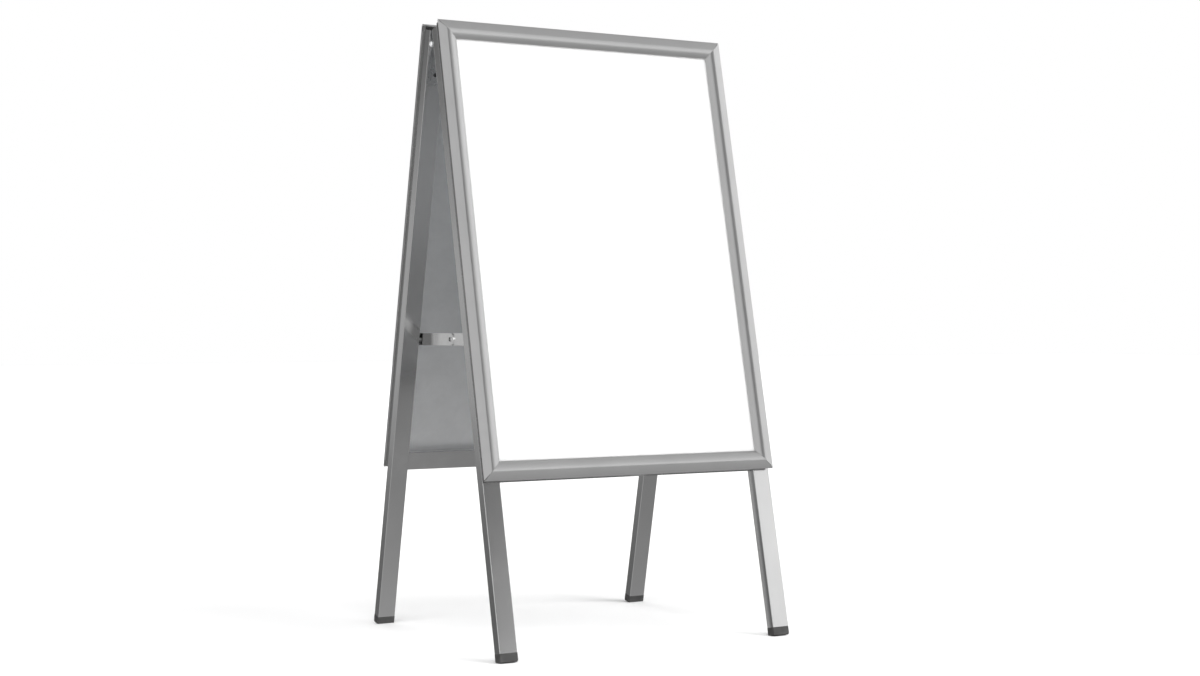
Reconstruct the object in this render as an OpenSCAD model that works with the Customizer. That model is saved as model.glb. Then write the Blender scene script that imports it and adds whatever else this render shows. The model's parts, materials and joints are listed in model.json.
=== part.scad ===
// Folding pavement sign: two poster leaves hinged along the top, held open by two folding stays.
// Units are millimetres, +Z is up, -Y is the front, the origin is on the floor under the middle.

/* [Leaf] */
// outside width of one snap frame
frame_w = 648; // [500:1:800]
// outside height of one snap frame
frame_h = 900; // [700:1:1200]
// how far each leaf leans from upright
lean = 12.5; // [10:0.5:16]
// height of the hinge axis above the floor
hinge_z = 1163; // [1000:1:1300]
// distance from the top edge of a snap frame down to the hinge axis
top_drop = 35; // [30:1:45]

/* [Legs] */
// width of the leg tube, seen from the front
leg_w = 36.5; // [30:0.5:45]
// depth of the leg tube
leg_d = 21; // [18:0.5:26]
// wall of every rectangular tube
tube_wall = 1.5; // [1.2:0.1:2]
// how far the tubes stand in from the edge of the snap frame
leg_inset = 3; // [2:0.5:6]
// distance from the hinge axis to the inner face of the legs
leg_gap = 10; // [9.5:0.5:14]
// length of plastic foot that shows below each leg
foot_h = 17; // [12:1:25]

/* [Snap frame] */
// width of the snap frame profile
profile_w = 37; // [37:1:40]
// height of the lid ridge above the legs
ridge_h = 17.5; // [17:0.5:20]

/* [Stay] */
// height of the stay above the floor when the sign stands open
stay_z = 589; // [450:1:700]
// width of each stay strip
stay_w = 24; // [18:1:30]
// thickness of each stay strip
stay_t = 2; // [1.5:0.5:3]

/* [Hidden] */
$fn = 48;
eps = 0.01;
fit_gap = 0.05;
air_gap = 0.3;

// how far a drill or a cutter passes clear of the metal
cut = 2;

// heights in the snap frame, counted outward from the front of the legs
base_floor = 1.4;
panel_t = 0.8;
board_t = 6.5;
ledge_t = 1.2;
ledge_top = panel_t + board_t + ledge_t;
poster_t = 0.3;
cover_t = 0.8;
lip_gap = 0.2;
lip_bottom = ledge_top + poster_t + cover_t + lip_gap;

// outer skin of a lid: a flat slope up to a rounded ridge in the middle, then a wide curve down
skin_t = 1.5;
ridge_mid = profile_w / 2;
ridge_r = 12;
rise_a = 13;
fall_r = 32;
edge_bevel = 0.8;

// places across the profile, counted inward from the outside edge of the snap frame
wall_in = 3.6;
wall_t = 1.2;
riser_in = 12.6;
riser_end = riser_in + skin_t;
ledge_end = profile_w - 1;
rivet_in = 8.7;
mitre_gap = 0.15;
// how much of their pointed ends the upright lids lose, to pass the other lids when all stand open
tip_cut = 2.2;

// bead of the base profile and socket of the lid, which form the lid's hinge
bead_r = 1.5;
socket_r = bead_r + air_gap;
socket_wall = 1.2;
pivot_in = wall_in + wall_t / 2;
pivot_out = slope_y(skin_t, pivot_in) - socket_r - 0.2;
mouth_from = 166;
mouth_to = 294;

// rib under the lid that leans on the springs, and how far rib and socket stop short of the ends
rib_in = 10.2;
rib_t = 1.2;
rib_bottom = 7.2;
short_end = 14;

frame_top = top_drop;
frame_mid = frame_top - frame_h / 2;

// legs, cross bars and feet
tube_corner_r = 1.2;
leg_outer_x = frame_w / 2 - leg_inset;
leg_mid_x = leg_outer_x - leg_w / 2;
leg_inner_x = leg_outer_x - leg_w;
leg_face = leg_gap + leg_d;
bar_inset = 1;
// how far the legs stop below the frame's top edge
leg_short = 9;
leg_top = frame_top - leg_short;
sole_cut = 2;
leg_bottom = -(hinge_z + leg_face * sin(lean) - sole_cut) / cos(lean) + foot_h;
foot_over = 0.4;
foot_edge_r = 4.5;
plug_len = 20;
plug_gap = 0.2;

// sheets: the poster reaches under the lids, the panel and the board stop at the riser
poster_tuck_w = 10;
poster_tuck_h = 7.5;
poster_w = frame_w - 2 * (profile_w - poster_tuck_w);
poster_h = frame_h - 2 * (profile_w - poster_tuck_h);
sheet_edge = riser_end + 0.5;

// folding stay: its pins sit far enough in for the arm ends to stay clear of the back panels
stay_clear = 1.5;
// room between leg and rear arm for the head of the middle rivet
stay_head_space = 3;
stay_pin_in = leg_face - stay_w / 2 - stay_clear;
stay_pin_z = (stay_z - hinge_z - stay_pin_in * sin(lean)) / cos(lean);
stay_reach = stay_pin_in * cos(lean) - stay_pin_z * sin(lean);
stay_x = leg_inner_x - stay_head_space;
stay_pin_r = 3;
stay_head_r = 6;
stay_spacer_r = 5;
stay_foot_r = 4.5;
stay_rivet_head_r = 5;
stay_rivet_groove_in = 1.3;
stay_rivet_groove_out = 3;
stay_rivet_groove = 1;

// hinge brackets: a plate on the inner face of a leg, with a lip below and an ear round the axis
plate_t = 2.5;
plate_top = 24;
plate_bottom = -80.5;
plate_edge = 0.5;
plate_lip = 5.5;
ear_r = 6.8;
ear_top = 18;
ear_bottom = -45;
hinge_pin_r = 3;
hinge_head_r = 5.2;
hinge_tail_r = 4.8;
bracket_screw_z = [15, -30, -60];
screw_r = 2;
screw_len = 6;
screw_head_r = 4;
slot_w = 0.8;

// heads of pins, rivets and screws: every head narrows by this much over its height
head_h = 1.8;
head_taper = 1;

// blind rivets of the snap frame
rivet_r = 1.6;
rivet_head_r = 3.2;
rivet_head_h = 1.2;
rivet_tail = 3;
rivet_tail_r = 2.4;
rivet_end = 90;
side_rivet_x = [rivet_end - frame_h / 2, 0, frame_h / 2 - rivet_end];
bar_rivet_x = [-frame_w / 4, frame_w / 4];

// bowed strip springs under the lids, placed as shares of the bar's length
spring_len = 24;
spring_t = 0.6;
spring_mid = (wall_in + wall_t + riser_in) / 2;
spring_r = (riser_in - wall_in - wall_t) / 2 - 0.1;
long_spring_at = [-0.36, -0.18, 0.12, 0.3];
short_spring_at = [-0.33, 0.05, 0.33];

// corner keys
key_arm = 36;
key_in = 5.2;
key_w = 6.6;
key_t = 2;

aluminium = [0.72, 0.73, 0.74];
steel = [0.62, 0.64, 0.66];
zinc = [0.55, 0.56, 0.58];
dark_plastic = [0.2, 0.2, 0.21];
foam = [0.85, 0.85, 0.83];
paper = [0.97, 0.97, 0.96];
clear = [0.95, 0.97, 1, 0.35];

// ---- frames of reference ----

// A leaf is drawn upright around the hinge axis with its outside facing -Y, then leaned.
module leaf(rear = false) {
  translate([0, 0, hinge_z])
    mirror([0, rear ? 1 : 0, 0])
      rotate([-lean, 0, 0])
        children();
}

module side(right = false) {
  mirror([right ? 1 : 0, 0, 0])
    children();
}

// Turns a bar drawn for the bottom edge (X along it, Y inward, Z outward) into its place in a leaf.
module on_edge(edge) {
  turn = edge == "top" ? 180 : edge == "left" ? -90 : edge == "right" ? 90 : 0;
  reach = (upright(edge) ? frame_w : frame_h) / 2;
  translate([0, -leg_face, frame_mid])
    rotate([90, 0, 0])
      rotate([0, 0, turn])
        translate([0, -reach, 0])
          children();
}

function upright(edge) = edge == "left" || edge == "right";
function edge_len(edge) = upright(edge) ? frame_h : frame_w;
function rivet_places(edge) = upright(edge) ? side_rivet_x : bar_rivet_x;

// ---- small shapes ----

// A row of points along an arc, with angles measured from straight up.
function arc(r, a0, a1, steps) =
  [for (i = [0:steps]) let (a = a0 + (a1 - a0) * i / steps) [r * sin(a), r * cos(a)]];

module rounded_rect(w, d, r) {
  square([w - 2 * r, d], center = true);
  square([w, d - 2 * r], center = true);
  for (x = [-1, 1], y = [-1, 1])
    translate([x * (w / 2 - r), y * (d / 2 - r)])
      circle(r);
}

module tube_section(w, d) {
  difference() {
    rounded_rect(w, d, tube_corner_r);
    square([w - 2 * tube_wall, d - 2 * tube_wall], center = true);
  }
}

module along_x(len) {
  translate([-len / 2, 0, 0])
    rotate([90, 0, 90])
      linear_extrude(len)
        children();
}

// A hole along Y through a wall of thickness t whose near face is at y.
module hole_y(r, y, t) {
  translate([0, y - cut, 0])
    rotate([-90, 0, 0])
      cylinder(r = r, h = t + 2 * cut);
}

module head(r, h = head_h) {
  cylinder(r1 = r - head_taper, r2 = r, h = h);
}

// ---- snap frame ----

// Keeps what lies between the mitred ends of a bar, whose tips may be cut square.
module mitred(edge, tip = 0) {
  half = edge_len(edge) / 2 - mitre_gap;
  intersection() {
    children();
    translate([0, 0, -cut])
      linear_extrude(ridge_h + 2 * cut)
        polygon([
          [tip - half, 0],
          [half - tip, 0],
          [half - tip, tip],
          [half - profile_w, profile_w],
          [profile_w - half, profile_w],
          [tip - half, tip]
        ]);
  }
}

// Base profile: a wall that carries the hinge bead, a floor, a riser and the ledge under the sheets.
module base_section() {
  translate([wall_in, 0])
    square([wall_t, pivot_out - bead_r / 2]);
  translate([pivot_in, pivot_out])
    circle(bead_r);
  translate([wall_in, 0])
    square([riser_end - wall_in, base_floor]);
  translate([riser_in, 0])
    square([skin_t, ledge_top]);
  translate([riser_in, ledge_top - ledge_t])
    square([ledge_end - riser_in, ledge_t]);
}

module base_bar(edge) {
  color(aluminium)
    on_edge(edge)
      difference() {
        mitred(edge)
          along_x(edge_len(edge))
            base_section();
        for (x = rivet_places(edge))
          translate([x, rivet_in, -cut])
            cylinder(r = rivet_r + fit_gap, h = base_floor + 2 * cut);
      }
}

// Height of the flat slope at place x, and the curve that follows it as far as place end.
// Both are taken at a depth below the outside of the skin.
function slope_y(depth, x) =
  ridge_h - ridge_r + (ridge_r - depth) / cos(rise_a) - (ridge_mid - x) * tan(rise_a);
function curve(depth, end, steps = 8) =
  let (r = fall_r - depth, end_a = asin((end - ridge_mid) / r))
    concat(
      [for (p = arc(ridge_r - depth, -rise_a, 0, 4)) [ridge_mid, ridge_h - ridge_r] + p],
      [for (p = arc(r, end_a / steps, end_a, steps - 1)) [ridge_mid, ridge_h - fall_r] + p]
    );
function last(list) = list[len(list) - 1];
function reversed(list) = [for (i = [len(list) - 1:-1:0]) list[i]];

module lid_skin() {
  edge_y = slope_y(0, edge_bevel);
  edge_bottom = slope_y(skin_t, skin_t);
  lip_in = profile_w - skin_t;
  outside = curve(0, profile_w - edge_bevel);
  polygon(concat(
    [[0, edge_bottom], [0, edge_y - edge_bevel], [edge_bevel, edge_y]],
    outside,
    [[profile_w, last(outside)[1] - edge_bevel], [profile_w, lip_bottom], [lip_in, lip_bottom]],
    reversed(curve(skin_t, lip_in)),
    [[skin_t, edge_bottom]]
  ));
}

// Socket of the lid's hinge: a ring under the skin, open between two angles to clear the wall.
module lid_socket() {
  far = 3 * socket_r;
  translate([pivot_in, pivot_out])
    difference() {
      union() {
        circle(socket_r + socket_wall);
        translate([-wall_t / 2, socket_r])
          square([wall_t, socket_wall]);
      }
      circle(socket_r);
      polygon([
        [0, 0],
        far * [cos(mouth_from), sin(mouth_from)],
        [-far, -far],
        far * [cos(mouth_to), sin(mouth_to)]
      ]);
    }
}

module lid_rib() {
  rib_top = slope_y(skin_t / 2, rib_in);
  translate([rib_in, rib_bottom])
    square([rib_t, rib_top - rib_bottom]);
}

module lid_bar(edge) {
  color(aluminium)
    on_edge(edge)
      union() {
        mitred(edge, upright(edge) ? tip_cut : 0)
          along_x(edge_len(edge))
            lid_skin();
        along_x(edge_len(edge) - 2 * short_end) {
          lid_socket();
          lid_rib();
        }
      }
}

// Bowed steel strips that span the channel of the base profiles.
module lid_springs() {
  color(steel)
    for (edge = ["top", "bottom", "left", "right"])
      on_edge(edge)
        for (share = upright(edge) ? long_spring_at : short_spring_at)
          translate([share * edge_len(edge), 0, 0])
            along_x(spring_len)
              translate([spring_mid, base_floor + air_gap / 3])
                difference() {
                  circle(spring_r);
                  circle(spring_r - spring_t);
                  translate([-2 * spring_r, -4 * spring_r])
                    square(4 * spring_r);
                }
}

// L-shaped keys that join the base profiles at the corners.
module corner_keys() {
  color(steel)
    for (x = [0, 1], z = [0, 1])
      mirror([x, 0, 0])
        translate([-frame_w / 2, -leg_face - base_floor, frame_mid])
          mirror([0, 0, z])
            translate([0, 0, -frame_h / 2])
              rotate([90, 0, 0])
                linear_extrude(key_t)
                  polygon([
                    [key_in, key_in],
                    [key_arm, key_in],
                    [key_arm, key_in + key_w],
                    [key_in + key_w, key_in + key_w],
                    [key_in + key_w, key_arm],
                    [key_in, key_arm]
                  ]);
}

// Blind rivets that hold the base profiles to the tubes behind them.
module frame_rivets() {
  color(steel)
    for (edge = ["top", "bottom", "left", "right"])
      on_edge(edge)
        for (x = rivet_places(edge))
          translate([x, rivet_in, 0])
            blind_rivet();
}

module blind_rivet() {
  behind = -tube_wall - rivet_tail;
  translate([0, 0, base_floor + rivet_head_h])
    mirror([0, 0, 1])
      head(rivet_head_r, rivet_head_h);
  translate([0, 0, behind])
    cylinder(r = rivet_r, h = base_floor - behind + eps);
  translate([0, 0, behind])
    cylinder(r = rivet_tail_r, h = rivet_tail);
}

// A flat sheet of thickness t, whose inner face is out from the front of the legs.
module sheet(w, h, t, out) {
  translate([-w / 2, -leg_face - out - t, frame_mid - h / 2])
    cube([w, t, h]);
}

module inner_sheet(t, out) {
  sheet(frame_w - 2 * sheet_edge, frame_h - 2 * sheet_edge, t, out);
}

module back_panel() {
  color(zinc)
    inner_sheet(panel_t, 0);
}

module backing_board() {
  color(foam)
    inner_sheet(board_t, panel_t);
}

module poster() {
  color(paper)
    sheet(poster_w, poster_h, poster_t, ledge_top);
}

module cover() {
  color(clear)
    sheet(poster_w, poster_h, cover_t, ledge_top + poster_t);
}

// ---- tubes and feet ----

module leg() {
  color(aluminium)
    difference() {
      translate([-leg_mid_x, -leg_gap - leg_d / 2, leg_bottom])
        linear_extrude(leg_top - leg_bottom)
          tube_section(leg_w, leg_d);
      for (x = side_rivet_x)
        translate([rivet_in - frame_w / 2, 0, frame_mid + x])
          hole_y(rivet_r + fit_gap, -leg_face, tube_wall);
      for (z = bracket_screw_z)
        translate([-leg_mid_x, 0, z])
          hole_y(screw_r + fit_gap, -leg_gap - tube_wall, tube_wall);
      translate([-leg_inner_x - tube_wall - cut, -stay_pin_in, stay_pin_z])
        rotate([0, 90, 0])
          cylinder(r = stay_pin_r + fit_gap, h = tube_wall + 2 * cut);
    }
}

module cross_bar(z_mid) {
  color(aluminium)
    difference() {
      translate([0, -leg_gap - leg_d / 2, z_mid])
        rotate([0, 90, 0])
          linear_extrude(2 * leg_inner_x, center = true)
            tube_section(leg_w, leg_d);
      for (x = bar_rivet_x, z = [1, -1])
        translate([x, 0, frame_mid + z * (frame_h / 2 - rivet_in)])
          hole_y(rivet_r + fit_gap, -leg_face, tube_wall);
    }
}

module top_bar() {
  cross_bar(frame_top - bar_inset - leg_w / 2);
}

module bottom_bar() {
  cross_bar(frame_top - frame_h + bar_inset + leg_w / 2);
}

// Plastic end cap: rounded below, flat where it meets the floor, with a plug up the tube.
module foot(rear) {
  cap_w = leg_w + 2 * foot_over;
  cap_d = leg_d + 2 * foot_over;
  inside = 2 * (tube_wall + plug_gap);
  color(dark_plastic)
    intersection() {
      leaf(rear)
        translate([-leg_mid_x, -leg_gap - leg_d / 2, leg_bottom]) {
          intersection() {
            rotate([90, 0, 0])
              linear_extrude(cap_d, center = true)
                round_bottom(cap_w, foot_h, foot_edge_r);
            rotate([90, 0, 90])
              linear_extrude(cap_w, center = true)
                round_bottom(cap_d, foot_h, foot_edge_r);
          }
          translate([0, 0, plug_len / 2])
            cube([leg_w - inside, leg_d - inside, plug_len + eps], center = true);
        }
      translate([-frame_w, -frame_h, 0])
        cube([2 * frame_w, 2 * frame_h, hinge_z]);
    }
}

// A rectangle that hangs h below the X axis, with its two lower corners rounded.
module round_bottom(w, h, r) {
  translate([-w / 2, r - h])
    square([w, h - r]);
  translate([r - w / 2, -h])
    square([w - 2 * r, r + eps]);
  for (x = [-1, 1])
    translate([x * (w / 2 - r), r - h])
      circle(r);
}

// ---- hinge ----

// The ear of the rear bracket lies outside that of the front bracket.
function ear_x(rear) = -leg_outer_x + plate_edge + (rear ? 0 : plate_t + air_gap);

module hinge_bracket(rear) {
  plate_w = leg_w - 2 * plate_edge;
  color(steel)
    difference() {
      union() {
        translate([-leg_outer_x + plate_edge, -leg_gap, plate_bottom]) {
          cube([plate_w, plate_t, plate_top - plate_bottom]);
          cube([plate_w, plate_lip, plate_t]);
        }
        translate([ear_x(rear), 0, 0])
          rotate([90, 0, 90])
            linear_extrude(plate_t)
              ear();
      }
      translate([ear_x(rear) - cut, 0, 0])
        rotate([0, 90, 0])
          cylinder(r = hinge_pin_r + (rear ? fit_gap : 0), h = plate_t + 2 * cut);
      for (z = bracket_screw_z)
        translate([-leg_mid_x, 0, z])
          hole_y(screw_r + fit_gap, -leg_gap, plate_t);
    }
}

// Side view of an ear: a round end on the hinge axis that widens towards the plate.
module ear() {
  touch = 18;
  circle(ear_r);
  polygon([
    [plate_t / 2 - leg_gap, ear_top],
    ear_r * [-sin(touch), cos(touch)],
    [0, -ear_r],
    [plate_t / 2 - leg_gap, ear_bottom]
  ]);
}

// A rivet through both ears: the head is outside, the tail is set against the inner ear.
module hinge_rivet() {
  grip = 2 * (plate_t + air_gap);
  color(steel)
    translate([ear_x(true) - air_gap, 0, 0])
      rotate([0, 90, 0]) {
        translate([0, 0, -head_h])
          head(hinge_head_r);
        cylinder(r = hinge_pin_r, h = grip);
        translate([0, 0, grip + head_h])
          mirror([0, 0, 1])
            head(hinge_tail_r);
      }
}

module bracket_screws() {
  color(steel)
    for (right = [false, true], z = bracket_screw_z)
      side(right)
        translate([-leg_mid_x, -leg_gap, z])
          rotate([-90, 0, 0])
            cross_screw();
}

module cross_screw() {
  behind = -tube_wall - screw_len;
  difference() {
    union() {
      translate([0, 0, plate_t + head_h])
        mirror([0, 0, 1])
          head(screw_head_r);
      translate([0, 0, behind])
        cylinder(r = screw_r, h = plate_t - behind + eps);
    }
    for (a = [0, 90])
      rotate([0, 0, a])
        translate([0, 0, plate_t + head_h])
          cube([screw_head_r, slot_w, head_h], center = true);
  }
}

// ---- stay ----

// The rear arm lies outside the front arm, and carries the rivet of the middle joint.
function arm_x(rear) = -stay_x + (rear ? 0 : stay_t + air_gap);

module stay_arm(rear) {
  color(steel)
    translate([arm_x(rear), 0, stay_z])
      mirror([0, rear ? 1 : 0, 0])
        rotate([90, 0, 90])
          linear_extrude(stay_t)
            difference() {
              union() {
                translate([-stay_reach, -stay_w / 2])
                  square([stay_reach, stay_w]);
                for (end = [-stay_reach, 0])
                  translate([end, 0])
                    circle(stay_w / 2);
              }
              circle(hinge_pin_r + (rear ? 0 : fit_gap));
              translate([-stay_reach, 0])
                circle(stay_pin_r + fit_gap);
            }
}

module stay_rivet() {
  color(steel)
    translate([arm_x(true), 0, stay_z])
      rotate([0, 90, 0])
        difference() {
          union() {
            translate([0, 0, -head_h])
              head(stay_rivet_head_r);
            cylinder(r = hinge_pin_r, h = stay_t);
          }
          translate([0, 0, -head_h - eps])
            difference() {
              cylinder(r = stay_rivet_groove_out, h = stay_rivet_groove);
              cylinder(r = stay_rivet_groove_in, h = stay_rivet_groove);
            }
        }
}

// Pins from the legs to the stay arms, each with a foot inside the leg, a spacer and a head.
module stay_pins(rear) {
  start = leg_inner_x + tube_wall;
  shoulder = start + arm_x(rear) - air_gap;
  grip_end = shoulder + stay_t + 2 * air_gap;
  color(steel)
    for (right = [false, true])
      side(right)
        translate([-start, -stay_pin_in, stay_pin_z])
          rotate([0, 90, 0]) {
            translate([0, 0, -head_h])
              cylinder(r = stay_foot_r, h = head_h);
            cylinder(r = stay_pin_r, h = grip_end + eps);
            translate([0, 0, tube_wall])
              cylinder(r = stay_spacer_r, h = shoulder - tube_wall);
            translate([0, 0, grip_end + head_h])
              mirror([0, 0, 1])
                head(stay_head_r);
          }
}

// ---- assembly ----

leaf() leg();  // front_left_leg
leaf() side(true) leg();  // front_right_leg
leaf() top_bar();  // front_top_bar
leaf() bottom_bar();  // front_bottom_bar
foot(false);  // front_left_foot
side(true) foot(false);  // front_right_foot
leaf() base_bar("top");  // front_base_top
leaf() base_bar("bottom");  // front_base_bottom
leaf() base_bar("left");  // front_base_left
leaf() base_bar("right");  // front_base_right
leaf() lid_bar("top");  // front_lid_top
leaf() lid_bar("bottom");  // front_lid_bottom
leaf() lid_bar("left");  // front_lid_left
leaf() lid_bar("right");  // front_lid_right
leaf() back_panel();  // front_back_panel
leaf() backing_board();  // front_backing_board
leaf() poster();  // front_poster
leaf() cover();  // front_cover
leaf() lid_springs();  // front_lid_springs
leaf() corner_keys();  // front_corner_keys
leaf() frame_rivets();  // front_frame_rivets
leaf(true) leg();  // rear_left_leg
leaf(true) side(true) leg();  // rear_right_leg
leaf(true) top_bar();  // rear_top_bar
leaf(true) bottom_bar();  // rear_bottom_bar
foot(true);  // rear_left_foot
side(true) foot(true);  // rear_right_foot
leaf(true) base_bar("top");  // rear_base_top
leaf(true) base_bar("bottom");  // rear_base_bottom
leaf(true) base_bar("left");  // rear_base_left
leaf(true) base_bar("right");  // rear_base_right
leaf(true) lid_bar("top");  // rear_lid_top
leaf(true) lid_bar("bottom");  // rear_lid_bottom
leaf(true) lid_bar("left");  // rear_lid_left
leaf(true) lid_bar("right");  // rear_lid_right
leaf(true) back_panel();  // rear_back_panel
leaf(true) backing_board();  // rear_backing_board
leaf(true) poster();  // rear_poster
leaf(true) cover();  // rear_cover
leaf(true) lid_springs();  // rear_lid_springs
leaf(true) corner_keys();  // rear_corner_keys
leaf(true) frame_rivets();  // rear_frame_rivets
leaf() hinge_bracket(false);  // left_front_hinge_bracket
leaf(true) hinge_bracket(true);  // left_rear_hinge_bracket
leaf() side(true) hinge_bracket(false);  // right_front_hinge_bracket
leaf(true) side(true) hinge_bracket(true);  // right_rear_hinge_bracket
leaf() hinge_rivet();  // left_hinge_rivet
leaf() side(true) hinge_rivet();  // right_hinge_rivet
leaf() bracket_screws();  // front_bracket_screws
leaf(true) bracket_screws();  // rear_bracket_screws
stay_arm(false);  // left_front_stay_arm
stay_arm(true);  // left_rear_stay_arm
side(true) stay_arm(false);  // right_front_stay_arm
side(true) stay_arm(true);  // right_rear_stay_arm
stay_rivet();  // left_stay_rivet
side(true) stay_rivet();  // right_stay_rivet
leaf() stay_pins(false);  // front_stay_pins
leaf(true) stay_pins(true);  // rear_stay_pins
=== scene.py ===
"""Looks of the folding pavement sign: finishes, formed parts, floor, light and camera. Lengths in metres."""
import json
import math

import bmesh
import bpy
from mathutils import Matrix, Vector


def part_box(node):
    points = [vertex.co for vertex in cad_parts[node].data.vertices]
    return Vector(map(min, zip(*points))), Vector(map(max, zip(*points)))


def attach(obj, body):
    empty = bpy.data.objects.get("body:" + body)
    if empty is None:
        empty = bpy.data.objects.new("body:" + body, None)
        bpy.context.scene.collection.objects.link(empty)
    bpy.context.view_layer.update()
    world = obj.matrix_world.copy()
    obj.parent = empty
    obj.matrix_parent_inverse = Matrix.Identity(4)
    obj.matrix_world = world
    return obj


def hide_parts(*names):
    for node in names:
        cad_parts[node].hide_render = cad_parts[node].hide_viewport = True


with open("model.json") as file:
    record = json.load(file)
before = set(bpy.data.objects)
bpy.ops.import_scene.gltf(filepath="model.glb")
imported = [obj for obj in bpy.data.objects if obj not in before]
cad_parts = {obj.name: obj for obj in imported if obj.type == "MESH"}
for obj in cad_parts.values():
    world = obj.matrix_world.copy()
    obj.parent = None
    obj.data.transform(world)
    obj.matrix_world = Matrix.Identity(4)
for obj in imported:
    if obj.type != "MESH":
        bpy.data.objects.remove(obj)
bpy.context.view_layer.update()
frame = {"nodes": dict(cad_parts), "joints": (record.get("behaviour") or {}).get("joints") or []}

MM = 0.001
EDGES = ("top", "bottom", "left", "right")
LEAVES = ("front", "rear")
SIDES = ("left", "right")


# ---- the sign's own frame ----

def joint(name):
    return next(j for j in frame["joints"] if j["name"] == name)


HINGE_Z = joint("fold")["pos_m"][2]
LEAN = math.radians(12.5)
LEG_GAP = 10 * MM
LEG_D = 21 * MM
LEG_FACE = LEG_GAP + LEG_D
MITRE_GAP = 0.15 * MM
FRAME_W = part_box("front_lid_bottom")[1].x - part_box("front_lid_bottom")[0].x + 2 * MITRE_GAP
FRAME_H = 900 * MM
FRAME_TOP = 35 * MM
FRAME_MID = FRAME_TOP - FRAME_H / 2
PROFILE_W = 37 * MM
STAY_Z = 589 * MM
# edges that turn by less than this many degrees are shaded smooth
SMOOTH_BELOW = 35


def leaf_matrix(leaf):
    """From a leaf drawn upright round the hinge axis, outside towards -Y, to its place."""
    flip = Matrix.Scale(-1, 4, (0, 1, 0)) if leaf == "rear" else Matrix.Identity(4)
    return Matrix.Translation((0, 0, HINGE_Z)) @ flip @ Matrix.Rotation(-LEAN, 4, "X")


def upright(edge):
    return edge in SIDES


def edge_length(edge):
    return FRAME_H if upright(edge) else FRAME_W


def edge_matrix(leaf, edge):
    """From a bar (X along it, Y inward, Z outward) to its place in a leaf."""
    turn = {"bottom": 0, "top": 180, "left": -90, "right": 90}[edge]
    reach = (FRAME_W if upright(edge) else FRAME_H) / 2
    place = Matrix.Translation((0, -LEG_FACE, FRAME_MID)) @ Matrix.Rotation(math.pi / 2, 4, "X")
    turned = Matrix.Rotation(math.radians(turn), 4, "Z") @ Matrix.Translation((0, -reach, 0))
    return leaf_matrix(leaf) @ place @ turned


# ---- materials ----

class Finish:
    """A node material that is built up from textures in object space."""

    def __init__(self, name, colour, metallic=0.0, roughness=0.5):
        self.material = bpy.data.materials.new(name)
        self.material.use_nodes = True
        self.tree = self.material.node_tree
        self.shader = self.tree.nodes["Principled BSDF"]
        self.shader.inputs["Base Color"].default_value = (*colour, 1)
        self.shader.inputs["Metallic"].default_value = metallic
        self.shader.inputs["Roughness"].default_value = roughness
        self.place = self.node("ShaderNodeTexCoord").outputs["Object"]

    def node(self, kind, **settings):
        made = self.tree.nodes.new(kind)
        for name, value in settings.items():
            setattr(made, name, value)
        return made

    def link(self, source, target):
        self.tree.links.new(source, target)

    def stretched(self, scale, turn=0.0):
        """Object space turned about X, then scaled along each axis."""
        turned = self.node("ShaderNodeMapping", vector_type="POINT")
        turned.inputs["Rotation"].default_value = (turn, 0, 0)
        self.link(self.place, turned.inputs["Vector"])
        scaled = self.node("ShaderNodeMapping", vector_type="POINT")
        scaled.inputs["Scale"].default_value = scale
        self.link(turned.outputs["Vector"], scaled.inputs["Vector"])
        return scaled.outputs["Vector"]

    def noise(self, vector=None, scale=1.0, detail=3.0, rough=0.5):
        made = self.node("ShaderNodeTexNoise")
        made.inputs["Scale"].default_value = scale
        made.inputs["Detail"].default_value = detail
        made.inputs["Roughness"].default_value = rough
        self.link(vector or self.place, made.inputs["Vector"])
        return made.outputs["Fac"]

    def cells(self, scale):
        made = self.node("ShaderNodeTexVoronoi")
        made.inputs["Scale"].default_value = scale
        self.link(self.place, made.inputs["Vector"])
        return made.outputs["Color"]

    def spread(self, value, low, high, start=0.3, end=0.7):
        """The value between start and end, spread over low to high."""
        made = self.node("ShaderNodeMapRange")
        for name, number in (("From Min", start), ("From Max", end), ("To Min", low), ("To Max", high)):
            made.inputs[name].default_value = number
        self.link(value, made.inputs["Value"])
        return made.outputs["Result"]

    def math(self, operation, first, second):
        made = self.node("ShaderNodeMath", operation=operation)
        self.link(first, made.inputs[0])
        self.link(second, made.inputs[1])
        return made.outputs[0]

    def tint(self, value, dark, light):
        """A colour between dark and light, chosen by a value from 0 to 1."""
        made = self.node("ShaderNodeMix", data_type="RGBA")
        made.inputs["A"].default_value = (*dark, 1)
        made.inputs["B"].default_value = (*light, 1)
        self.link(value, made.inputs["Factor"])
        self.link(made.outputs["Result"], self.shader.inputs["Base Color"])

    def roughness(self, value, low, high):
        self.link(self.spread(value, low, high), self.shader.inputs["Roughness"])

    def bump(self, *layers):
        """Each layer is (height value, height in metres)."""
        below = None
        for height, distance in layers:
            made = self.node("ShaderNodeBump")
            made.inputs["Strength"].default_value = 1.0
            made.inputs["Distance"].default_value = distance
            self.link(height, made.inputs["Height"])
            if below:
                self.link(below, made.inputs["Normal"])
            below = made.outputs["Normal"]
        self.link(below, self.shader.inputs["Normal"])


def grey(value, warm=0.0):
    return (value * (1 + warm), value, value * (1 - warm))


# texture scales that draw fine lines along a bar
ALONG_X = (3, 900, 900)
ALONG_Z = (900, 900, 3)


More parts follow.
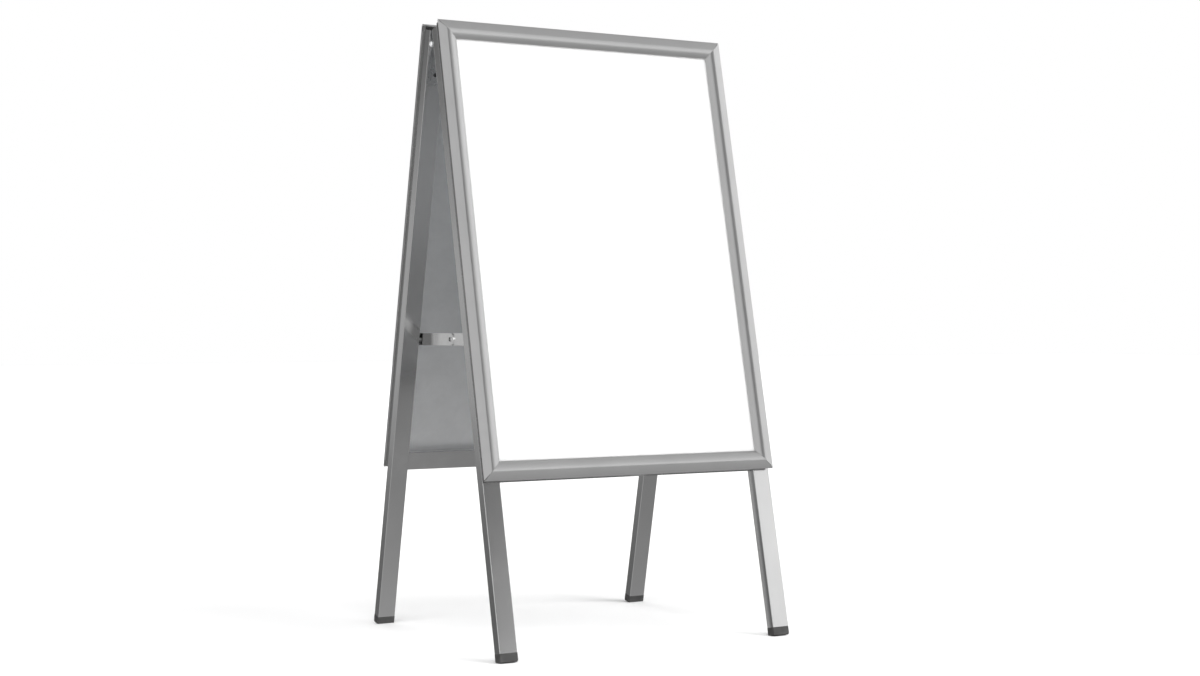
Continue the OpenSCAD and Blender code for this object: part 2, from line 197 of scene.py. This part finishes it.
def anodised(name, leaf, along, low=0.74, high=0.80, rough=(0.26, 0.34)):
    """Satin anodised extrusion: fine etched grain, faint die lines along the bar and faint handling marks."""
    turn = LEAN if leaf == "front" else -LEAN
    finish = Finish(name, grey(high), metallic=1.0)
    lines = finish.noise(finish.stretched(along, turn), scale=1.0, detail=2.0)
    grain = finish.noise(scale=2600, detail=2.0)
    patches = finish.noise(scale=9, detail=4.0)
    marks = finish.noise(finish.stretched((60, 60, 60), turn), detail=6.0, rough=0.7)
    finish.tint(finish.spread(patches, 0, 1), grey(low), grey(high))
    finish.roughness(finish.math("MULTIPLY", patches, marks), rough[0], rough[1] + 0.06)
    finish.bump((lines, 0.006 * MM), (grain, 0.004 * MM))
    return finish


def profile_painted_shade_finish(leaf, edge):
    along = ALONG_Z if upright(edge) else ALONG_X
    # painted shade: the base profiles are far darker than the lids, standing for the shade in the recess under
    # the lids' edges
    return anodised(f"profile_{leaf}_{edge}", leaf, along, low=0.36, high=0.42).material


def lid_finish(leaf, edge):
    """The lids reflect in streaks that run along the bar, as extrusions do."""
    finish = anodised(f"lid_{leaf}_{edge}", leaf, ALONG_Z if upright(edge) else ALONG_X, rough=(0.43, 0.48))
    finish.shader.inputs["Anisotropic"].default_value = 0.97
    tangent = finish.node("ShaderNodeTangent", direction_type="UV_MAP", uv_map="along")
    finish.link(tangent.outputs["Tangent"], finish.shader.inputs["Tangent"])
    return finish.material


def tube_finish(leaf, along, name):
    return anodised(f"tube_{leaf}_{name}", leaf, along, low=0.70, high=0.76, rough=(0.19, 0.25)).material


def steel_finish(name="zinc_plated_steel", dark=0.68, light=0.86, metallic=1.0):
    """Zinc plated steel: a bright blue-grey film, cloudy, with fine scratches."""
    finish = Finish(name, grey(light, -0.01), metallic=metallic)
    clouds = finish.noise(scale=120, detail=5.0, rough=0.6)
    scratches = finish.noise(finish.stretched((1500, 90, 90)), detail=3.0)
    finish.tint(finish.spread(clouds, 0, 1), grey(dark, -0.01), grey(light, -0.005))
    finish.roughness(clouds, 0.22, 0.42)
    finish.bump((scratches, 0.008 * MM))
    return finish.material


def stay_finish():
    """Bright zinc plated strip, with painted shade on the part towards the rear leg."""
    shade_start, shade_full = 76 * MM, 92 * MM
    finish = Finish("zinc_plated_strip", grey(0.9), metallic=1.0)
    clouds = finish.noise(scale=60, detail=4.0, rough=0.6)
    scratches = finish.noise(finish.stretched((90, 60, 1500)), detail=3.0)
    place = finish.node("ShaderNodeSeparateXYZ")
    finish.link(finish.place, place.inputs[0])
    # painted shade: the strip goes from bright to dark between 76 mm and 92 mm in Y and stays dark towards the
    # rear leg
    strip_shade = finish.spread(place.outputs["Y"], 0, 1, shade_start, shade_full)
    finish.tint(strip_shade, grey(0.98), grey(0.36))
    finish.roughness(clouds, 0.12, 0.2)
    finish.bump((scratches, 0.004 * MM))
    return finish.material


def rivet_finish():
    """Bright hollow rivet with painted shade as a black ring over its groove; the ring is told by its distance
    from the rivet's axis.
    """
    shade_ring_in, shade_ring_out, fade = 1.3 * MM, 3.9 * MM, 0.4 * MM
    finish = Finish("stay_rivet", grey(0.9), metallic=1.0, roughness=0.2)
    place = finish.node("ShaderNodeSeparateXYZ")
    finish.link(finish.place, place.inputs[0])
    height = finish.node("ShaderNodeMath", operation="SUBTRACT")
    finish.link(place.outputs["Z"], height.inputs[0])
    height.inputs[1].default_value = STAY_Z
    flat = finish.node("ShaderNodeCombineXYZ")
    finish.link(place.outputs["Y"], flat.inputs["Y"])
    finish.link(height.outputs[0], flat.inputs["Z"])
    length = finish.node("ShaderNodeVectorMath", operation="LENGTH")
    finish.link(flat.outputs[0], length.inputs[0])
    distance = length.outputs["Value"]
    inner = finish.spread(distance, 0, 1, shade_ring_in, shade_ring_in + fade)
    outer = finish.spread(distance, 1, 0, shade_ring_out, shade_ring_out + fade)
    wear = finish.noise(scale=700, detail=3.0)
    # painted shade: the rivet is black between the ring's inner and outer radius
    finish.tint(finish.math("MULTIPLY", inner, outer), grey(0.95), grey(0.03))
    finish.roughness(wear, 0.14, 0.26)
    return finish.material


def panel_finish():
    """Zinc coated sheet: soft overlapping spangles, dull and cool."""
    finish = Finish("zinc_coated_sheet", grey(0.92, -0.01), metallic=0.97)
    spangles = finish.cells(scale=95)
    clouds = finish.noise(scale=24, detail=5.0, rough=0.6)
    level = finish.math("MULTIPLY", finish.spread(spangles, 0.82, 1.0, 0, 1), finish.spread(clouds, 0.7, 1.0))
    finish.tint(level, grey(0.78, -0.01), grey(0.96, -0.01))
    finish.roughness(clouds, 0.36, 0.46)
    finish.bump((spangles, 0.01 * MM), (finish.noise(scale=1400, detail=2.0), 0.01 * MM))
    return finish.material


def plastic_finish():
    """Dark moulded plastic: fine spark texture and a dusty lower edge."""
    dust_height = 8 * MM
    finish = Finish("dark_moulded_plastic", grey(0.05), roughness=0.55)
    clouds = finish.noise(scale=60, detail=4.0)
    grain = finish.noise(scale=1700, detail=2.0)
    height = finish.node("ShaderNodeSeparateXYZ")
    finish.link(finish.place, height.inputs[0])
    dust = finish.spread(height.outputs["Z"], 0.5, 0.0, 0.0, dust_height)
    paleness = finish.math("MULTIPLY", clouds, finish.math("ADD", dust, clouds))
    finish.tint(paleness, grey(0.03), grey(0.085, 0.02))
    finish.roughness(clouds, 0.5, 0.66)
    finish.bump((grain, 0.03 * MM))
    return finish.material


def paper_finish():
    """Coated poster paper: nearly even white with faint fibres and a slight waviness."""
    finish = Finish("poster_paper", grey(0.93), roughness=0.6)
    fibres = finish.noise(scale=1600, detail=4.0, rough=0.6)
    waves = finish.noise(scale=4, detail=1.0)
    finish.tint(finish.spread(fibres, 0, 1), grey(0.92), grey(0.945))
    finish.bump((waves, 0.4 * MM), (fibres, 0.002 * MM))
    return finish.material


def board_finish():
    """Edge of the foam backing board, with its open cells."""
    finish = Finish("foam_board", grey(0.8, 0.01), roughness=0.8)
    bubbles = finish.noise(scale=1300, detail=3.0)
    finish.tint(finish.spread(bubbles, 0, 1), grey(0.7, 0.015), grey(0.84, 0.01))
    finish.bump((bubbles, 0.1 * MM))
    return finish.material


def cover_finish():
    """Thin clear anti-glare sheet: seen through, with a frosted sheen."""
    finish = Finish("clear_cover", grey(0.97), roughness=0.35)
    frost = finish.noise(scale=900, detail=3.0)
    finish.tint(finish.spread(frost, 0, 1), grey(0.97), grey(0.99))
    finish.roughness(frost, 0.34, 0.4)
    finish.shader.inputs["Alpha"].default_value = 0.12
    finish.shader.inputs["IOR"].default_value = 1.49
    return finish.material


# ---- mesh helpers ----

def arc(centre, radius, start, end, steps):
    """Points on an arc in the (inward, outward) plane; angles in degrees from inward towards outward."""
    turns = [math.radians(start + (end - start) * i / steps) for i in range(steps + 1)]
    return [(centre[0] + radius * math.cos(a), centre[1] + radius * math.sin(a)) for a in turns]


def new_piece(name, mesh_builder, matrix, body, material):
    """Makes an object from bmesh geometry drawn in a local frame, and hangs it on its body."""
    mesh_data = mesh_builder()
    mesh_data.transform(matrix)
    if matrix.determinant() < 0:
        bmesh.ops.reverse_faces(mesh_data, faces=mesh_data.faces)
    mesh = bpy.data.meshes.new(name)
    mesh_data.to_mesh(mesh)
    mesh_data.free()
    mesh.shade_smooth()
    mesh.set_sharp_from_angle(angle=math.radians(SMOOTH_BELOW))
    mesh.materials.append(material)
    piece = bpy.data.objects.new(name, mesh)
    bpy.context.scene.collection.objects.link(piece)
    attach(piece, body)
    return piece


def sweep(mesh_data, outline, half_length):
    """Sweeps a closed outline along X. half_length(inward) gives where each point's run ends."""
    along = mesh_data.loops.layers.uv.get("along") or mesh_data.loops.layers.uv.new("along")
    rings = []
    for end in (-1, 1):
        rings.append([mesh_data.verts.new((end * half_length(y), y, z)) for y, z in outline])
    lengths = [0.0]
    for i, point in enumerate(outline):
        following = outline[(i + 1) % len(outline)]
        lengths.append(lengths[-1] + math.dist(point, following))
    for i in range(len(outline)):
        j = (i + 1) % len(outline)
        corners = (rings[0][i], rings[0][j], rings[1][j], rings[1][i])
        face = mesh_data.faces.new(corners)
        for loop, run in zip(face.loops, (lengths[i], lengths[i + 1], lengths[i + 1], lengths[i])):
            loop[along].uv = (loop.vert.co.x, run)
    for ring in (rings[0][::-1], rings[1]):
        cap = mesh_data.faces.new(ring)
        for loop in cap.loops:
            loop[along].uv = (loop.vert.co.z, loop.vert.co.y)


# ---- lids of the snap frames ----

RIDGE_H = 17.5 * MM
SKIN_T = 1.5 * MM
RIDGE_R = 12 * MM
RISE = 13
FALL_R = 32 * MM
LIP_BOTTOM = 9.8 * MM
WALL_IN = 3.6 * MM
WALL_T = 1.2 * MM
PIVOT_IN = WALL_IN + WALL_T / 2
SOCKET_R = 1.8 * MM
SOCKET_WALL = 1.2 * MM
MOUTH = (166, 294)
RIB_IN = 10.2 * MM
RIB_T = 1.2 * MM
RIB_BOTTOM = 7.2 * MM
SOCKET_DROP = 0.2 * MM
SHORT_END = 14 * MM
TIP_CUT = 2.2 * MM


def slope_height(depth, inward):
    """Height of the flat slope at a depth below the outside of the skin."""
    rise = math.radians(RISE)
    return RIDGE_H - RIDGE_R + (RIDGE_R - depth) / math.cos(rise) - (PROFILE_W / 2 - inward) * math.tan(rise)


def curved_part(depth, end, steps):
    """From the end of the flat slope over the ridge, then the wide curve down to the place called end."""
    ridge = arc((PROFILE_W / 2, RIDGE_H - RIDGE_R), RIDGE_R - depth, 90 + RISE, 90, 6)
    radius = FALL_R - depth
    end_angle = 90 - math.degrees(math.asin((end - PROFILE_W / 2) / radius))
    return ridge[:-1] + arc((PROFILE_W / 2, RIDGE_H - FALL_R), radius, 90, end_angle, steps)


PIVOT_OUT = slope_height(SKIN_T, PIVOT_IN) - SOCKET_R - SOCKET_DROP


def lid_outline():
    """The lid's skin, clockwise seen along the bar: rolled edge, slope, ridge, curve and rounded lip."""
    edge_r = 0.9 * MM
    edge_top = slope_height(0, edge_r)
    edge_bottom = slope_height(SKIN_T, SKIN_T)
    low_r = 0.35 * MM
    lip_in = PROFILE_W - SKIN_T
    outside = curved_part(0, PROFILE_W - edge_r, 14)
    lip_top = outside[-1][1]
    points = [(low_r, edge_bottom), (0, edge_bottom + low_r)]
    points += arc((edge_r, edge_top - edge_r), edge_r, 180, 90 + RISE, 5)
    points += outside
    points += arc((PROFILE_W - edge_r, lip_top - edge_r), edge_r, 55, 0, 4)
    points += [(PROFILE_W, LIP_BOTTOM + low_r), (PROFILE_W - low_r, LIP_BOTTOM)]
    points += [(lip_in + low_r, LIP_BOTTOM), (lip_in, LIP_BOTTOM + low_r)]
    points += curved_part(SKIN_T, lip_in, 10)[::-1]
    points += [(SKIN_T, edge_bottom)]
    return points


def socket_outline():
    """The open ring under the lid's outer edge that turns on the bead of the base profile."""
    centre = (PIVOT_IN, PIVOT_OUT)
    start, end = MOUTH[1] - 360, MOUTH[0]
    ring = arc(centre, SOCKET_R, start, end, 14)
    return ring + arc(centre, SOCKET_R + SOCKET_WALL, end, start, 14)


def rib_outline():
    top = slope_height(SKIN_T / 2, RIB_IN)
    round_r = 0.4 * MM
    left, right, low = RIB_IN, RIB_IN + RIB_T, RIB_BOTTOM
    foot = [(left, low + round_r), (left + round_r, low), (right - round_r, low), (right, low + round_r)]
    return [(left, top)] + foot + [(right, top)]


def build_lid(leaf, edge):
    half = edge_length(edge) / 2
    tip = TIP_CUT if upright(edge) else 0

    def mitred(inward):
        return half - MITRE_GAP - max(inward, tip)

    def square(_inward):
        return half - SHORT_END

    def geometry():
        mesh_data = bmesh.new()
        sweep(mesh_data, lid_outline(), mitred)
        sweep(mesh_data, socket_outline(), square)
        sweep(mesh_data, rib_outline(), square)
        bmesh.ops.recalc_face_normals(mesh_data, faces=mesh_data.faces)
        return mesh_data

    node = f"{leaf}_lid_{edge}"
    piece = new_piece(f"{leaf}_{edge}_lid_extrusion", geometry, edge_matrix(leaf, edge),
                      f"{leaf}_{edge}_lid", lid_finish(leaf, edge))
    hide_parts(node)


# ---- feet ----

LEG_W = 36.5 * MM
FOOT_H = 17 * MM
FOOT_OVER = 0.4 * MM
FOOT_CORNER_R = 1.7 * MM
FOOT_LOW_R = 4.2 * MM
FOOT_TOP_R = 0.5 * MM
SOLE_CUT = 2 * MM
LEG_INSET = 3 * MM
LEG_MID_X = FRAME_W / 2 - LEG_INSET - LEG_W / 2


def build_foot(leaf, side, material):
    node = f"{leaf}_{side}_foot"
    sign = -1 if side == "left" else 1
    to_leaf = leaf_matrix(leaf).inverted()
    # the tube's lower end, measured down the leg from the hinge
    leg_end = -(HINGE_Z + LEG_FACE * math.sin(LEAN) - SOLE_CUT) / math.cos(LEAN) + FOOT_H

    def geometry():
        mesh_data = bmesh.new()
        bmesh.ops.create_cube(mesh_data, size=1)
        size = (LEG_W + 2 * FOOT_OVER, LEG_D + 2 * FOOT_OVER, FOOT_H)
        bmesh.ops.scale(mesh_data, vec=size, verts=mesh_data.verts)
        corners = [e for e in mesh_data.edges if abs(e.verts[0].co.z - e.verts[1].co.z) > FOOT_H / 2]
        bmesh.ops.bevel(mesh_data, geom=corners, offset=FOOT_CORNER_R, segments=5, profile=0.5, affect="EDGES")
        low = [e for e in mesh_data.edges if all(v.co.z < -0.49 * FOOT_H for v in e.verts)]
        bmesh.ops.bevel(mesh_data, geom=low, offset=FOOT_LOW_R, segments=7, profile=0.5, affect="EDGES")
        top = [e for e in mesh_data.edges if all(v.co.z > 0.49 * FOOT_H for v in e.verts)]
        bmesh.ops.bevel(mesh_data, geom=top, offset=FOOT_TOP_R, segments=3, profile=0.5, affect="EDGES")
        centre = Vector((sign * LEG_MID_X, -LEG_GAP - LEG_D / 2, leg_end - FOOT_H / 2))
        bmesh.ops.translate(mesh_data, vec=centre, verts=mesh_data.verts)
        # the sole is cut flat where the foot meets the floor
        floor_point = to_leaf @ Vector((0, 0, 0))
        floor_normal = (to_leaf.to_3x3() @ Vector((0, 0, 1))).normalized()
        faces = mesh_data.verts[:] + mesh_data.edges[:] + mesh_data.faces[:]
        cut = bmesh.ops.bisect_plane(mesh_data, geom=faces, plane_co=floor_point, plane_no=floor_normal,
                                     clear_inner=True)
        rim = [g for g in cut["geom_cut"] if isinstance(g, bmesh.types.BMEdge)]
        bmesh.ops.contextual_create(mesh_data, geom=rim)
        bmesh.ops.recalc_face_normals(mesh_data, faces=mesh_data.faces)
        return mesh_data

    piece = new_piece(f"{leaf}_{side}_end_cap", geometry, leaf_matrix(leaf), f"{leaf}_leaf", material)
    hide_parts(node)


# ---- CAD nodes that stay ----

def finish_node(name, material, bevel=0.0):
    """Gives a CAD node its finish, and rounds its sharp edges a little."""
    piece = frame["nodes"][name]
    piece.data.materials.clear()
    piece.data.materials.append(material)
    piece.data.shade_smooth()
    piece.data.set_sharp_from_angle(angle=math.radians(SMOOTH_BELOW))
    if bevel:
        rounding = piece.modifiers.new("rounding", "BEVEL")
        rounding.width = bevel
        rounding.segments = 2
        rounding.limit_method = "ANGLE"
        rounding.angle_limit = math.radians(50)
        rounding.use_clamp_overlap = True


def finish_leaf(leaf, finishes):
    for side in SIDES:
        finish_node(f"{leaf}_{side}_leg", tube_finish(leaf, ALONG_Z, f"{side}_leg"))
    for bar in ("top_bar", "bottom_bar"):
        finish_node(f"{leaf}_{bar}", tube_finish(leaf, ALONG_X, bar))
    for edge in EDGES:
        finish_node(f"{leaf}_base_{edge}", profile_painted_shade_finish(leaf, edge))
    finish_node(f"{leaf}_back_panel", finishes["panel"])
    finish_node(f"{leaf}_backing_board", finishes["board"])
    finish_node(f"{leaf}_poster", finishes["paper"])
    finish_node(f"{leaf}_cover", finishes["cover"])
    for part in ("lid_springs", "corner_keys", "frame_rivets", "stay_pins"):
        finish_node(f"{leaf}_{part}", finishes["steel"])
    finish_node(f"{leaf}_bracket_screws", finishes["screws"])
    for side in SIDES:
        finish_node(f"{side}_{leaf}_hinge_bracket", finishes["steel"], bevel=0.35 * MM)
        finish_node(f"{side}_{leaf}_stay_arm", finishes["stay"], bevel=0.4 * MM)


# ---- floor, light and camera ----

FLOOR_SIZE = 30
FLOOR_DROP = 0.2 * MM


def floor():
    mesh_data = bmesh.new()
    bmesh.ops.create_grid(mesh_data, x_segments=1, y_segments=1, size=FLOOR_SIZE)
    mesh = bpy.data.meshes.new("floor")
    mesh_data.to_mesh(mesh)
    mesh_data.free()
    finish = Finish("pale_floor", grey(0.9), roughness=0.9)
    mesh.materials.append(finish.material)
    made = bpy.data.objects.new("floor", mesh)
    bpy.context.scene.collection.objects.link(made)
    made.location.z = -FLOOR_DROP
    # the metal reflects the surroundings below, not this floor
    made.visible_glossy = False


class Surroundings:
    """World nodes for the brightness of each direction: soft bands, set for the main view."""

    def __init__(self, tree):
        self.tree = tree
        parts = self.node("ShaderNodeSeparateXYZ")
        tree.links.new(self.node("ShaderNodeTexCoord").outputs["Generated"], parts.inputs[0])
        x, y, z = parts.outputs
        # degrees to the right of straight ahead of the front poster, and degrees above level
        self.around = self.calc("DEGREES", self.calc("ARCTAN2", x, self.calc("MULTIPLY", y, -1)))
        self.up = self.calc("DEGREES", self.calc("ARCSINE", z))

    def node(self, kind, **settings):
        made = self.tree.nodes.new(kind)
        for name, value in settings.items():
            setattr(made, name, value)
        return made

    def calc(self, operation, *values):
        made = self.node("ShaderNodeMath", operation=operation)
        for socket, value in zip(made.inputs, values):
            if isinstance(value, (int, float)):
                socket.default_value = value
            else:
                self.tree.links.new(value, socket)
        return made.outputs[0]

    def both(self, first, second):
        return self.calc("MULTIPLY", first, second)

    def step(self, value, start, end):
        """0 before start, 1 after end, soft in between; start may be the larger one."""
        made = self.node("ShaderNodeMapRange", interpolation_type="SMOOTHSTEP")
        self.tree.links.new(value, made.inputs["Value"])
        made.inputs["From Min"].default_value = start
        made.inputs["From Max"].default_value = end
        return made.outputs["Result"]

    def blend(self, share, low, high):
        rest = self.calc("SUBTRACT", 1, share)
        return self.calc("ADD", self.both(rest, low), self.both(share, high))

    def front(self):
        """Bright on the left ahead, dark in the middle, brightest on the right."""
        around, up, step, blend = self.around, self.up, self.step, self.blend
        middle = blend(step(up, 20, 28), 0.04, 0.36)
        left = blend(step(up, 16, 34), 1.25, 0.62)
        left = blend(step(around, -28, -48), left, 0.32)
        left = blend(step(around, 6, 17), left, middle)
        right = blend(step(around, 45, 85), 1.2, 1.5)
        right_part = self.both(step(self.calc("SUBTRACT", around, up), 12, 20), step(up, 2, 12))
        level = blend(right_part, left, right)
        band = self.both(step(up, 7, 17), step(up, 40, 30))
        return self.both(level, blend(band, 0.9, 1.02))

    def ceiling_and_floor(self, level):
        """A darker ceiling, a mid grey floor and a dark belt low on the right."""
        around, up, step, blend = self.around, self.up, self.step, self.blend
        level = blend(step(up, 40, 60), level, 0.35)
        level = blend(step(up, 3, -5), level, 0.46)
        level = blend(step(up, -20, -31), level, 0.43)
        belt = self.both(step(around, 5, 18), step(around, 55, 42))
        belt = self.both(belt, step(up, -8, -16))
        belt = self.both(belt, step(up, -32, -27))
        return blend(belt, level, 0.22)

    def behind(self, level):
        """Dark behind the sign with a brighter line at the horizon, and mid grey straight behind."""
        up, step, blend = self.up, self.step, self.blend
        turned_away = self.calc("ABSOLUTE", self.around)
        horizon = self.both(step(up, -6, -1), step(up, 9, 2))
        level = blend(step(turned_away, 95, 135), level, blend(horizon, 0.13, 0.45))
        return blend(step(turned_away, 158, 176), level, 0.6)


def studio():
    """The surroundings that the metal reflects. Only camera rays see plain white behind the sign."""
    world = bpy.data.worlds.new("studio")
    bpy.context.scene.world = world
    world.use_nodes = True
    tree = world.node_tree
    tree.nodes.clear()
    room = Surroundings(tree)
    level = room.behind(room.ceiling_and_floor(room.front()))
    path = room.node("ShaderNodeLightPath")
    level = room.blend(path.outputs["Is Camera Ray"], level, 1.0)
    light = room.node("ShaderNodeBackground")
    light.inputs["Color"].default_value = (1, 1, 1, 1)
    tree.links.new(level, light.inputs["Strength"])
    out = room.node("ShaderNodeOutputWorld")
    tree.links.new(light.outputs[0], out.inputs["Surface"])


# name, strength, the way the light travels, and how many degrees across the lamp is
LAMPS = (
    ("key", 2.5, (-0.55, 0.75, -0.6), 40),
    ("fill", 2.3, (0.5, 0.6, -0.7), 60),
    ("back", 1.0, (-0.2, -0.8, -0.5), 60),
)


def lamp(name, strength, direction, softness):
    data = bpy.data.lights.new(name, "SUN")
    data.energy = strength
    data.angle = math.radians(softness)
    made = bpy.data.objects.new(name, data)
    bpy.context.scene.collection.objects.link(made)
    made.rotation_euler = Vector(direction).to_track_quat("-Z", "Y").to_euler()
    # the lamps light the sign but are not mirrored in it
    made.visible_glossy = False


CAMERA_PLACE = (-1.8966, -3.3794, 0.6065)
# degrees: turned to the right, tilted up, rolled
CAMERA_TURN = (30.023, -0.240, -0.156)
SENSOR_W = 36
LENS = 57.305


def camera():
    yaw, pitch, roll = (math.radians(angle) for angle in CAMERA_TURN)
    forward = Vector((math.sin(yaw) * math.cos(pitch), math.cos(yaw) * math.cos(pitch), math.sin(pitch)))
    level_right = Vector((math.cos(yaw), -math.sin(yaw), 0))
    level_up = level_right.cross(forward)
    right = level_right * math.cos(roll) + level_up * math.sin(roll)
    up = level_up * math.cos(roll) - level_right * math.sin(roll)
    data = bpy.data.cameras.new("camera")
    data.sensor_width = SENSOR_W
    data.lens = LENS
    data.clip_end = 100
    made = bpy.data.objects.new("camera", data)
    bpy.context.scene.collection.objects.link(made)
    turn = Matrix((right, up, -forward)).transposed().to_4x4()
    made.matrix_world = Matrix.Translation(CAMERA_PLACE) @ turn
    bpy.context.scene.camera = made


def main():
    finishes = {
        "steel": steel_finish(),
        "screws": steel_finish("black_screws", 0.10, 0.18),
        # painted highlight: the hinge rivets get a brighter, less metallic copy of the plated steel
        "hinge_rivet": steel_finish("zinc_painted_highlight", 0.88, 0.95, metallic=0.3),
        "stay": stay_finish(),
        "stay_rivet": rivet_finish(),
        "panel": panel_finish(),
        "paper": paper_finish(),
        "board": board_finish(),
        "cover": cover_finish(),
        "plastic": plastic_finish(),
    }
    for leaf in LEAVES:
        finish_leaf(leaf, finishes)
        for edge in EDGES:
            build_lid(leaf, edge)
        for side in SIDES:
            build_foot(leaf, side, finishes["plastic"])
    for side in SIDES:
        for part in ("hinge_rivet", "stay_rivet"):
            finish_node(f"{side}_{part}", finishes[part])
    floor()
    studio()
    for settings in LAMPS:
        lamp(*settings)
    camera()
    bpy.context.scene.view_settings.view_transform = "Standard"


main()
